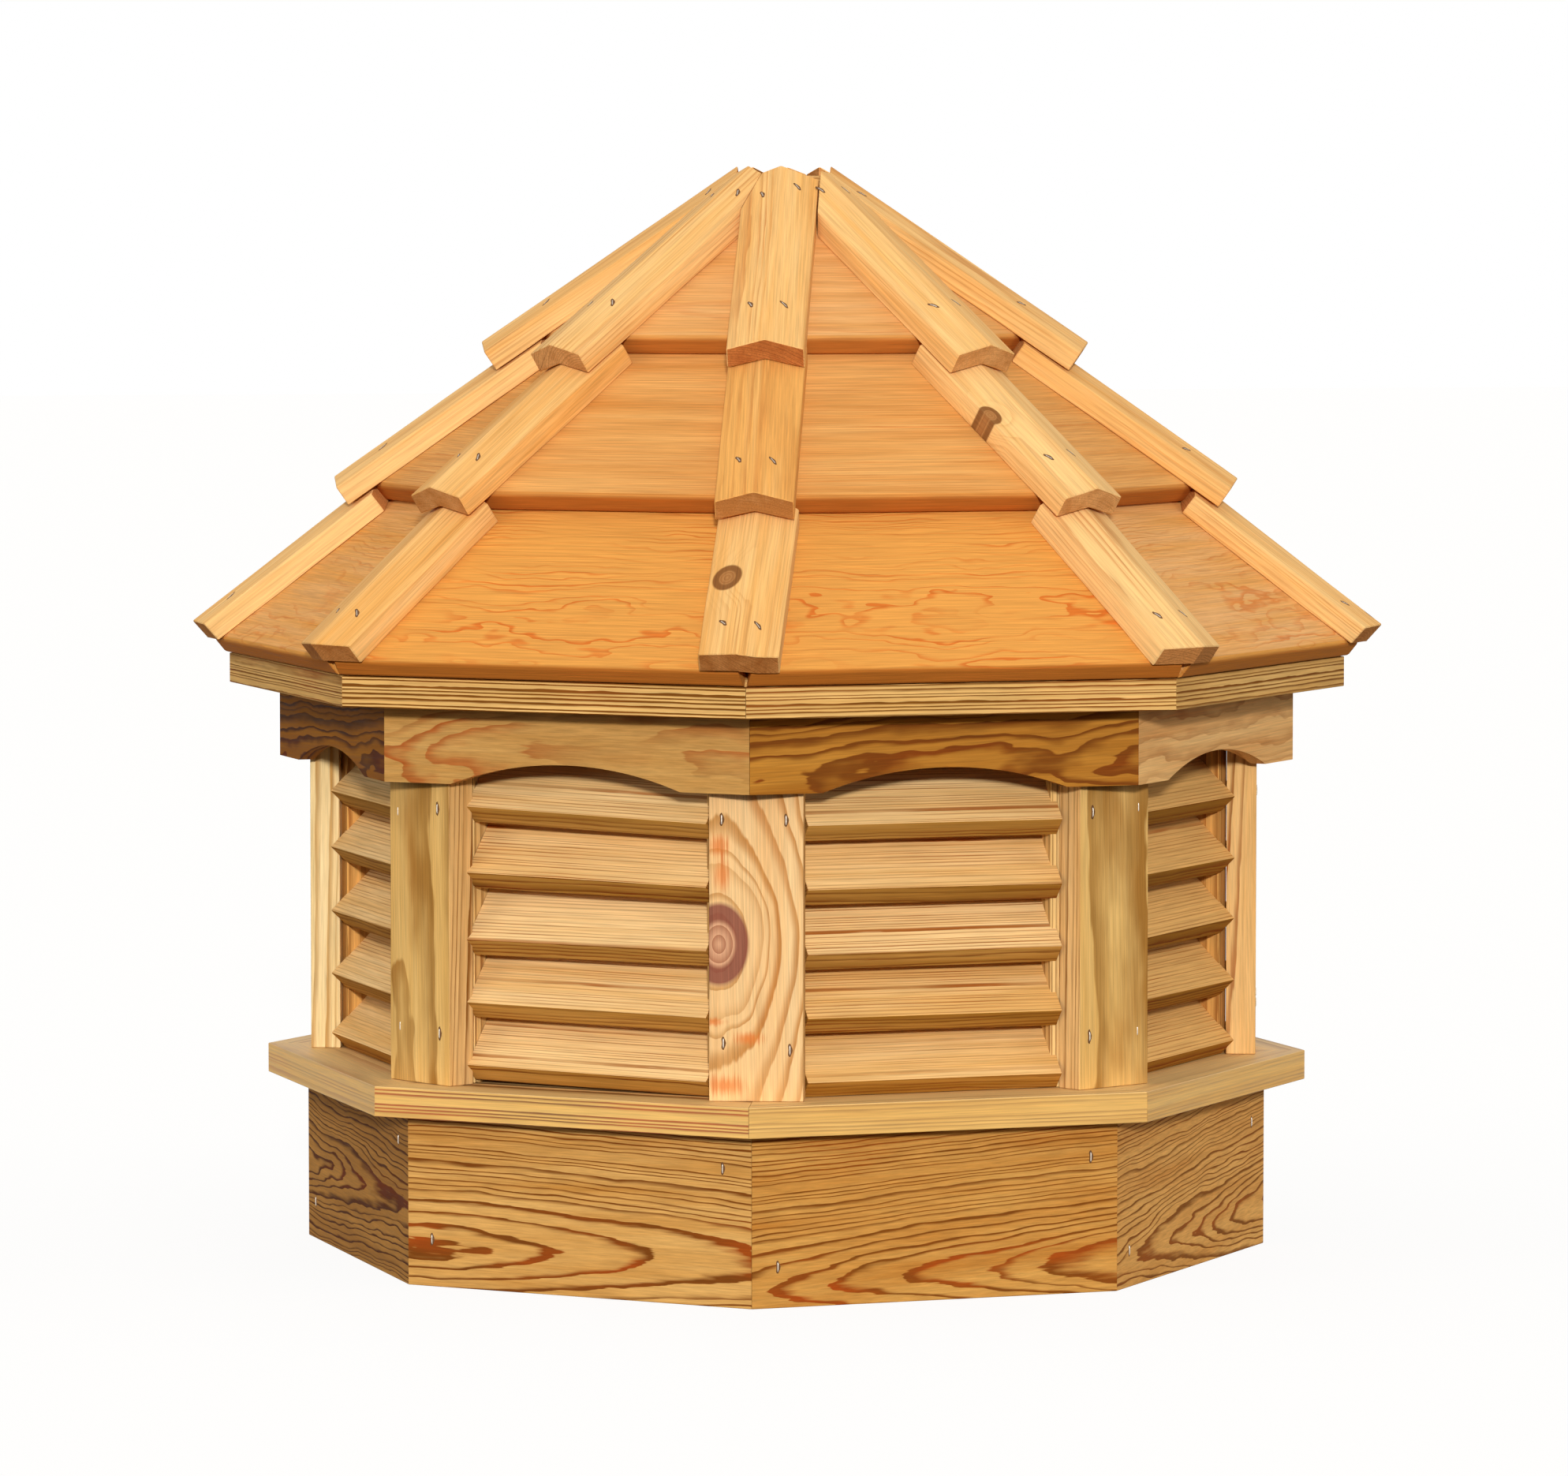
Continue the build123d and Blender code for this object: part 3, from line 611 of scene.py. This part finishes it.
seat_gap = 0.3
half_section = np.array([[-1, -1], [1, -1], [1, 1], [-1, 1]]) / 2
lantern_height = eave_bottom - sill_top
post_wide, post_thick = 76.0, 25.4
post_face = (-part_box("post_1")[0][1] / MM - post_wide / 2 * sin(HALF)) / cos(HALF)
for number, own in posts.items():
    turns = number - 1.5
    facing = turns + radians(own["twist"]) / TURN
    centre = outward(turns) * (post_face - post_thick / 2) + sideways(turns) * own["shift"] + UP * sill_top
    face_wood, side_wood = own["woods"]
    post = board(
        half_section * (post_wide, post_thick), square(seat_gap), square(lantern_height - seat_gap),
        (UP, sideways(facing), outward(facing)), centre, easing=1.0, seed=number,
        edge=(*RIGHT_FACE, *LEFT_FACE), heart=own["heart"], tilt=(0.01, 0.02), knot=own["knot"],
        tone=(own["contrast"], -0.05, 0.1))
    piece(f"corner_post_{number}", [post], [face_wood, side_wood, face_wood], f"post_{number}")

# ---- Stiles and louvre slats ----
# Quarter-sawn yellow pine: close straight lines, paler than the posts. The slats' sawn lower edges
# are duller and more open, because the saw cut across the rings, and darker: partly that grain,
# partly painted shade where they face down.
stile_pine = sawn_wood("planed_yellow_pine_stiles", ring=3.6, wander=1.5, wave=(4, 18),
                       **dict(STRAW, pale="#F6CE88", deep="#E6B468"))
slat_pine = sawn_wood("planed_yellow_pine_slats", ring=3.4, wander=1.2, wave=(3, 14),
                      width=0.4, fade=0.5, ragged=0.6,
                      **dict(STRAW, pale="#F6CE90", deep="#E2AE66", line="#A8743A"))
# Slat edges: colours painted darker, partly their cut grain and partly painted shade on faces turned down.
nose_pine_and_shade = sawn_wood("sawn_and_shaded_yellow_pine_slat_edges", ring=2.7, wander=2.4, wave=(5, 16),
                      width=0.6, rough=(0.75, 0.9),
                      pale="#CE984A", deep="#AA7428", line="#704210", flame="#8E3E10")

stile_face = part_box("louvre_stiles")[1][0] / MM
stile_wide, stile_deep, stile_inside = 16.5, 43.0, 107.07
painted_stile_shades = {2: 1.75, 7: 1.75}  # two sides' stiles get painted shade, for the shade in their recesses
stiles = []
for number in range(1, SIDES + 1):
    side = number - 1
    for end in (-1, 1):
        middle = sideways(side) * end * (stile_inside + stile_wide / 2)
        middle = middle + outward(side) * (stile_face - stile_deep / 2)
        stiles.append(board(
            half_section * (stile_wide, stile_deep), square(seat_gap), square(lantern_height - seat_gap),
            (UP, sideways(side), outward(side)), middle + UP * sill_top, easing=0.8,
            seed=40 + 2 * side + end, heart=(90 * end, -20), tone=(0.9, painted_stile_shades.get(number, -0.1), 0)))
piece("stiles", stiles, [stile_pine], "louvre_stiles")

slat_pitch, slat_wide, slat_thick, slat_half = 52.0, 60.0, 16.0, 109.57
slat_extra = 3.0  # most that a slat is thicker on its underside
slat_room = 9.0  # height free under every slat but the lowest
extra_drop = 0.75  # how far an extra mm of thickness hangs lower
nose_foot = 361.69
slant = radians(45)
across_slat = np.array([-cos(slant), sin(slant)])
through_slat = np.array([sin(slant), cos(slant)])
slat_corners = [(0, 0), (slat_thick, 0), (slat_thick, slat_wide), (0, slat_wide)]
slat_section = np.array(slat_corners) @ [through_slat, across_slat] + (nose_foot, seat_gap)
underside = np.array([[1], [0], [0], [1]])
slat_shift = {1: 2.6, 8: 3.0}
slat_shades = {1: 0.05, 2: 0.65, 7: 0.05}
# How high each slat was nailed above its mark, at its left and its right end.
usual_rise = ((0.8, 1.4, 0.5, 1.2, 0.9), (1.1, 0.6, 1.3, 0.7, 1.2))
slat_rise = {
    1: ((1.5, 1.5, 1.0, 1.5, 1.5), (1.5, 1.0, 1.5, 1.0, 1.5)),
    7: ((2.3, 1.6, 3.7, 6.3, 2.3), (2.3, 1.6, 3.7, 6.3, 2.3)),
    8: ((5.1, 4.7, 4.1, 7.4, 9.5), (2.0, 2.0, 4.1, 3.4, 2.7)),
}
for number in range(1, SIDES + 1):
    side = number - 1
    shift = slat_shift.get(number, 0.0)
    rng = np.random.default_rng(60 + side)
    slats = []
    for k, (left, right) in enumerate(zip(*slat_rise.get(number, usual_rise))):
        room = min(left, right) + (slat_room if k else 0)
        section = slat_section - min(slat_extra, room / extra_drop) * through_slat * underside
        low_end = (shift - slat_half) * sideways(side) + UP * (sill_top + k * slat_pitch + left)
        run = 2 * slat_half * sideways(side) + UP * (right - left)
        length = np.linalg.norm(run)
        slats.append(board(
            section, square(0), square(length), (run / length, outward(side), UP), low_end,
            easing=0.5, end_easing=0.4, edge=SLAT_NOSE, seed=100 + 5 * side + k,
            heart=(rng.uniform(225, 275), 320 + 30 * rng.uniform(-1, 1)),
            tone=(rng.uniform(0.7, 1.2), rng.uniform(-0.12, 0.12) + slat_shades.get(number, 0.0), 0.2)))
    piece(f"louvre_slats_side_{number}", slats, [slat_pine, nose_pine_and_shade], f"louvre_slats_{number}")

# ---- Hip caps ----
# Planed white pine: cream with faint lines and a few small brown knots. End grain soaks up pitch
# and dirt, so the sawn ends are darker, most of all on the near hip's upper cap.
cap_pine = sawn_wood("planed_white_pine_caps", ring=3.8, wander=2.2, wave=(4, 18), fade=0.7,
                     knots=("#AC7540", "#94582A", "#7E4A20"), **CREAM)
end_grain = dict(ring=2.4, wander=1.5, wave=(4, 30), rough=(0.75, 0.9))
foot_end = sawn_wood("planed_pine_end_grain",
                     pale="#D48E4E", deep="#B06A30", line="#8A4C1E", flame="#8A4C1E", **end_grain)
pale_end = sawn_wood("saw_cut_pale_pine_end_grain",
                     pale="#DFA566", deep="#BC7C40", line="#94592A", flame="#94592A", **end_grain)
dark_end = sawn_wood("saw_cut_pine_end_grain", polish=0.2,
                     pale="#D08040", deep="#A85A24", line="#7E3C14", flame="#8A4A20", **end_grain)
SAWN_END, DARK_END = 1, 2  # their numbers among a cap's materials

board_thick, course_run, course_lap = 19.5, (125.0, 134.0), 20.0
cap_wide, cap_thick, cap_wing, cap_notch = 64.0, 20.2, radians(17.5), radians(15.0)
cap_hang = (0.0, 36.0, 57.0)  # how far each course's caps run past its butts
butt_proud, cap_proud = 1.8, 3.0  # lowest butts past the eave plate, lowest caps past them
block_face = 39.8  # the peak block's face from the axis, with a gap
foot_gap, head_tuck, head_scribe = 0.5, 0.4, 10.0  # under the cap above, and more at the ridge
mitre_gap, peak_butt_gap = 0.3, 1.2  # between neighbours at the peak
askew_pivot = 75.0  # where up the hip an askew cap keeps its place

# Feet from the axis, and the heights that the courses' faces would reach at the axis.
eave_face = -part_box("eave_plate")[0][1] / MM
feet = [eave_face + butt_proud]
feet += [feet[0] - course_run[0], feet[0] - sum(course_run)]
under = [eave_top + seat_gap / cos(PITCHES[0]) + tan(PITCHES[0]) * eave_face]
top = [under[0] + board_thick / cos(PITCHES[0])]
for course in (1, 2):
    lap = feet[course] - course_lap
    bed = top[-1] - tan(PITCHES[course - 1]) * lap + seat_gap / cos(PITCHES[course])
    under.append(bed + tan(PITCHES[course]) * lap)
    top.append(under[-1] + board_thick / cos(PITCHES[course]))
hips = [atan(tan(pitch) * cos(HALF)) for pitch in PITCHES]
half_cap = cap_wide / 2
mitre_start = block_face * tan(HALF)
wing_points = [(v, -v * tan(cap_notch)) for v in (mitre_start, half_cap)]
wing_points += [(v, cap_thick - v * tan(cap_wing)) for v in (half_cap, mitre_start)]
cap_corners = np.array([(0, 0), *wing_points, (0, cap_thick), *((-v, w) for v, w in reversed(wing_points))])

# What single caps do, by corner and course.
usual_cap = dict(short=0.0, askew=0.0, aside=0.0, knot=None, shade=0.0, cut=SAWN_END)
odd_caps = {
    (1, 0): dict(askew=radians(2.2), aside=2.5, knot=(108, -17, 15, 12)),
    (1, 1): dict(shade=0.4),
    (1, 2): dict(short=9.0, cut=DARK_END),
    (2, 0): dict(shade=-0.4),
    (2, 1): dict(knot=(114, -29, 12, 8)),
    (3, 0): dict(knot=(22, 6, 10, 8)),
    (8, 1): dict(shade=0.2),
}
peak_joins = {(1, 1): "over", (2, -1): "butt"}  # by corner and way; the rest are mitred
# Staples of a cap in each course, across it and up it. Each strays and leans a little.
foot_pair = ((-15, 50), (13, 50))
cap_nailing = (foot_pair, foot_pair, ((-15, 65), (13, 65), (-14, 232), (15, 236)))
cap_staples = []


def hip_cap(corner, course):
    """One cap along its hip: u runs up the hip, v across it and w square to it. The foot of the
    lowest course is cut level with the boards' butts. At the peak each cap stops at the block's
    face and at its neighbours: r = distance from the axis, and u = (r at the foot - r) / cos hip."""
    turns = corner - 1.5
    hip, pitch = hips[course], PITCHES[course]
    out, across = outward(turns), sideways(turns)
    up_hip = UP * sin(hip) - out * cos(hip)
    level = out * sin(hip) + UP * cos(hip)
    roof_wing = sin(pitch) * sin(HALF)
    roof_wing /= sin(pitch) * cos(HALF) * sin(hip) + cos(pitch) * cos(hip)
    lift = seat_gap + half_cap * (tan(cap_notch) - roof_wing)
    butt = (feet[course] + board_thick * sin(pitch)) / cos(HALF)
    end = butt + cap_hang[course] * cos(hip) + (0 if course else cap_thick + cap_proud)
    ridge = top[course] - tan(hip) * end + (lift + cap_thick) / cos(hip)
    notch = out * end + UP * ridge - level * cap_thick
    notch_reach = end - cap_thick * sin(hip)
    own = usual_cap | odd_caps.get((corner, course), {})
    askew = own["askew"]
    notch = notch - across * (askew_pivot * sin(askew) + own["aside"])
    up_hip, across = (up_hip * cos(askew) + across * sin(askew),
                      across * cos(askew) - up_hip * sin(askew))
    seed = 200 + 10 * corner + course
    rng = np.random.default_rng(seed)

    def foot_cut(v, w):
        if course:
            return np.full_like(v, own["short"])
        cut = 0 * v
        for side in (corner - 2, corner - 1):
            down = outward(side) * cos(pitch) - UP * sin(pitch)
            mark = outward(side) * feet[0] + UP * (under[0] - tan(pitch) * feet[0]) + down * cap_proud
            beyond = (notch - mark) @ down + v * (across @ down) + w * (level @ down)
            cut = np.maximum(cut, beyond / -(up_hip @ down))
        return cut

    def head_cut(v, w):
        if course < 2:
            reach = (notch_reach - feet[course + 1] / cos(HALF) - foot_gap) / cos(hip)
            return reach + head_tuck + head_scribe * (1 - np.abs(v) / half_cap)
        stop = np.full_like(v, block_face)
        for way in (-1, 1):
            join = peak_joins.get((corner, way), "mitre")
            if join == "mitre":
                stop = np.maximum(stop, (way * v + mitre_gap) / tan(HALF))
            if join == "butt":
                beside = half_cap + peak_butt_gap + way * v * cos(TURN)
                stop = np.maximum(stop, beside / sin(TURN))
        return (notch_reach + w * sin(hip) - stop) / cos(hip)

    for v, start in cap_nailing[course]:
        u, lean, way = start + rng.uniform(-5, 5), rng.uniform(0.2, 0.9), np.sign(v)
        face = level * cos(cap_wing) + across * way * sin(cap_wing)
        spot = notch + up_hip * u + across * v + level * (cap_thick - abs(v) * tan(cap_wing))
        along = up_hip * cos(lean) + np.cross(face, up_hip) * sin(lean)
        cap_staples.append((spot, along, face))

    heart = (rng.uniform(-50, 50), -rng.uniform(20, 90))
    tilt = (0, rng.uniform(-0.03, 0.03))
    contrast, shade = rng.uniform(0.3, 0.65), rng.uniform(-0.15, 0.1)
    return board(
        cap_corners, foot_cut, head_cut, (up_hip, across, level), notch, easing=1.5, end_easing=0.8,
        stations=24, seed=seed, heart=heart, tilt=tilt, tone=(contrast, shade + own["shade"], 0.1),
        knot=own["knot"], fold=CAP_RIDGE, cut=own["cut"])


for course, name in enumerate(("lower", "middle", "upper")):
    caps = [hip_cap(corner, course) for corner in range(1, SIDES + 1)]
    piece(f"hip_caps_{name}_course", caps, [cap_pine, pale_end if course else foot_end, dark_end],
          f"hip_caps_{name}")

# ---- Staples ----
SPANGLE, TORN = 900.0, 1200.0  # zinc crystals and torn fibres a metre: 1.1 and 0.8 mm

# Galvanised steel wire: dull grey zinc that catches the light in spots.
galvanised, tree = new_finish("galvanised_steel_staple_wire")
at = put(tree, "TexCoord")["Object"]
spangle = put(tree, "TexNoise", {"Vector": at, "Scale": SPANGLE, "Detail": 3.0})["Fac"]
zinc = put(tree, "Mix", {0: spangle, 6: linear("#988C7C"), 7: linear("#EAE0D0")}, data_type="RGBA")[2]
dull = put(tree, "MapRange", {0: spangle, 3: 0.3, 4: 0.55})[0]
metal = put(tree, "BsdfPrincipled", {"Base Color": zinc, "Metallic": 0.85, "Roughness": dull})[0]
put(tree, "OutputMaterial", {"Surface": metal})

# Pine fibre crushed by the staple gun: a small rough bruise round each crown, painted dark, partly
# the crushed fibre and partly painted shade of the dent round the staple.
bruised_fibre_and_shade, tree = new_finish("pine_fibre_bruised_and_shaded")
at = put(tree, "TexCoord")["Object"]
torn = put(tree, "TexNoise", {"Vector": at, "Scale": TORN, "Detail": 4.0, "Roughness": 0.7})["Fac"]
mark_and_shade = put(tree, "Mix", {0: torn, 6: linear("#38200C"), 7: linear("#8A5A2A")}, data_type="RGBA")[2]
ragged = put(tree, "Bump", {"Height": torn, "Strength": 0.6, "Distance": 0.4 * MM})[0]
fibre = put(tree, "BsdfPrincipled", {"Base Color": mark_and_shade, "Roughness": 0.85, "Normal": ragged})[0]
put(tree, "OutputMaterial", {"Surface": fibre})


def small_parts(name, places, grid, shape, material):
    """Many copies of one small closed shape: shape(s, t) gives (x, y, z) in mm on a grid of two
    parameters, t closed on itself, and a copy's point is centre + x P + y Q + z N."""
    rows, around = grid
    s, t = np.meshgrid(np.linspace(0, 1, rows), np.arange(around) / around, indexing="ij")
    form = np.stack(shape(s, t), -1).reshape(1, -1, 3)
    centre, p, n = (np.array([place[i] for place in places], float)[:, None] for i in range(3))
    q = np.cross(n, p)
    points = (centre + form[..., :1] * p + form[..., 1:2] * q + form[..., 2:] * n).reshape(-1, 3) * MM
    index, quads = tube_faces(rows, around)
    copies = np.arange(len(places)) * rows * around
    faces = (quads + copies[:, None, None]).reshape(-1, 4).tolist()
    for end in (index[0, ::-1], index[-1]):
        faces += (end + copies[:, None]).tolist()
    mesh = bpy.data.meshes.new(name)
    mesh.from_pydata(points.tolist(), [], faces)
    mesh.materials.append(material)
    mesh.shade_smooth()
    join_cupola(name, mesh)


def staple_crown(s, t):
    """A 9 mm wire crown, for c from -1 to 1: its centre line is x = 4.5 c, z = 0.3 - 1.6 |c|^6, and
    its round section's radius is 0.55 sqrt(1.02 - |c|^12), which closes towards both ends."""
    c = 2 * s - 1
    r = 0.55 * np.sqrt(np.clip(1.02 - np.abs(c) ** 12, 0, 1))
    return 4.5 * c, r * np.cos(tau * t), 0.3 - 1.6 * np.abs(c) ** 6 - r * np.sin(tau * t)


def staple_mark_and_shade(s, t):
    """A low dome of crushed fibre with painted dent shade: x = 5.8 s cos a, y = 1.9 s sin a
    (1 + 0.3 sin 3a), which is ragged, and z = 0.3 (1 - s^2) - 0.04, with a once round."""
    a = tau * t
    s = np.maximum(s, 0.02)
    return 5.8 * s * np.cos(a), 1.9 * s * np.sin(a) * (1 + 0.3 * np.sin(3 * a)), 0.3 * (1 - s**2) - 0.04


post_nailing = ((44, lantern_height - 88), (-27, 26))  # heights, and places across the post
skirt_nailing = ((132, 112), (-134, 36))  # along and up each board
sunk = 0.42  # staples in caps are driven deeper
skirt_face = -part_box("skirt_board_1")[0][1] / MM
pine_staples = []
rng = np.random.default_rng(7)
for number, own in posts.items():
    turns = number - 1.5
    out, across = outward(turns), sideways(turns)
    for height in post_nailing[0]:
        for reach in post_nailing[1]:
            spot = out * post_face + across * (own["shift"] + reach + rng.uniform(-2, 2))
            spot = spot + UP * (sill_top + height + rng.uniform(-4, 4))
            pine_staples.append((spot, UP, out))
    out, across = outward(number - 1), sideways(number - 1)
    for reach, height in skirt_nailing:
        spot = out * skirt_face + across * (reach + rng.uniform(-4, 4)) + UP * (height + rng.uniform(-6, 6))
        pine_staples.append((spot, UP, out))
sunk_staples = [(spot - sunk * face, along, face) for spot, along, face in cap_staples]
for wood, slot, crowns, marks_and_shade in (("pine", "pine", pine_staples, pine_staples),
                                    ("caps", "cap_wood", sunk_staples, cap_staples)):
    small_parts(f"staples_in_{wood}", crowns, (15, 8), staple_crown, galvanised)
    small_parts(f"staple_marks_and_painted_shade_in_{wood}", marks_and_shade, (6, 20), staple_mark_and_shade, bruised_fibre_and_shade)

# ---- Camera ----
cam = add_object("camera", bpy.data.cameras.new("camera"))
cam.data.lens, cam.data.sensor_width = 160.67, 36.0
cam.location = (-1.9397, -5.6726, 0.8339)
cam.rotation_euler = (radians(86.174), 0, radians(-18.877))
bpy.context.scene.camera = cam
bpy.context.scene.view_settings.view_transform = "Standard"


# ---- Floor, sky and lamps ----
def seen_plain(tree):
    """1 where the camera sees a backdrop, also by way of gloss or glass, and 0 where it lights."""
    path = put(tree, "LightPath")
    seen = put(tree, "Math", {0: path["Is Camera Ray"], 1: path["Is Glossy Ray"]}, operation="MAXIMUM")[0]
    return put(tree, "Math", {0: seen, 1: path["Is Transmission Ray"]}, operation="MAXIMUM")[0]


# Matt white paper: no gloss, soft shadow. It glows white to the eye but sends little light back up.
floor_reach, floor_glow = 40, 0.9
floor_mesh = bpy.data.meshes.new("floor")
floor_corners = [(x * floor_reach, y * floor_reach, 0) for x, y in ((-1, -1), (1, -1), (1, 1), (-1, 1))]
floor_mesh.from_pydata(floor_corners, [], [(0, 1, 2, 3)])
floor = add_object("floor", floor_mesh)
paper, tree = new_finish("matt_white_paper")
matt = put(tree, "BsdfDiffuse", {"Color": linear("#605D58")})[0]
glow = put(tree, "Math", {0: seen_plain(tree), 1: floor_glow}, operation="MULTIPLY")[0]
glow = put(tree, "Emission", {"Color": (1, 1, 1, 1), "Strength": glow})[0]
put(tree, "OutputMaterial", {"Surface": put(tree, "AddShader", {0: matt, 1: glow})[0]})
floor_mesh.materials.append(paper)

# The sky is dim at the horizon and brightest overhead.
horizon, overhead, full_height = 0.1, 0.8, 0.9
world = bpy.data.worlds.new("studio")
bpy.context.scene.world = world
world.use_nodes = True
tree = world.node_tree
tree.nodes.clear()
height = put(tree, "SeparateXYZ", {0: put(tree, "TexCoord")["Generated"]})["Z"]
soft = put(tree, "MapRange", {0: height, 1: 0.0, 2: full_height, 3: horizon, 4: overhead})[0]
strength = put(tree, "MapRange", {0: seen_plain(tree), 3: soft, 4: 1.0})[0]
sky = put(tree, "Background", {"Color": (1, 1, 1, 1), "Strength": strength})[0]
put(tree, "OutputWorld", {"Surface": sky})

for name, energy, size, height, azimuth in (  # size, height and azimuth in degrees
        ("key", 2.5, 4, 13, -17), ("left_panel", 0.55, 20, 12, -82), ("right_panel", 0.42, 20, 12, 52)):
    lamp = add_object(name, bpy.data.lights.new(name, "SUN"))
    lamp.data.energy, lamp.data.angle = energy, radians(size)
    lamp.rotation_euler = (radians(90 - height), 0, radians(azimuth))
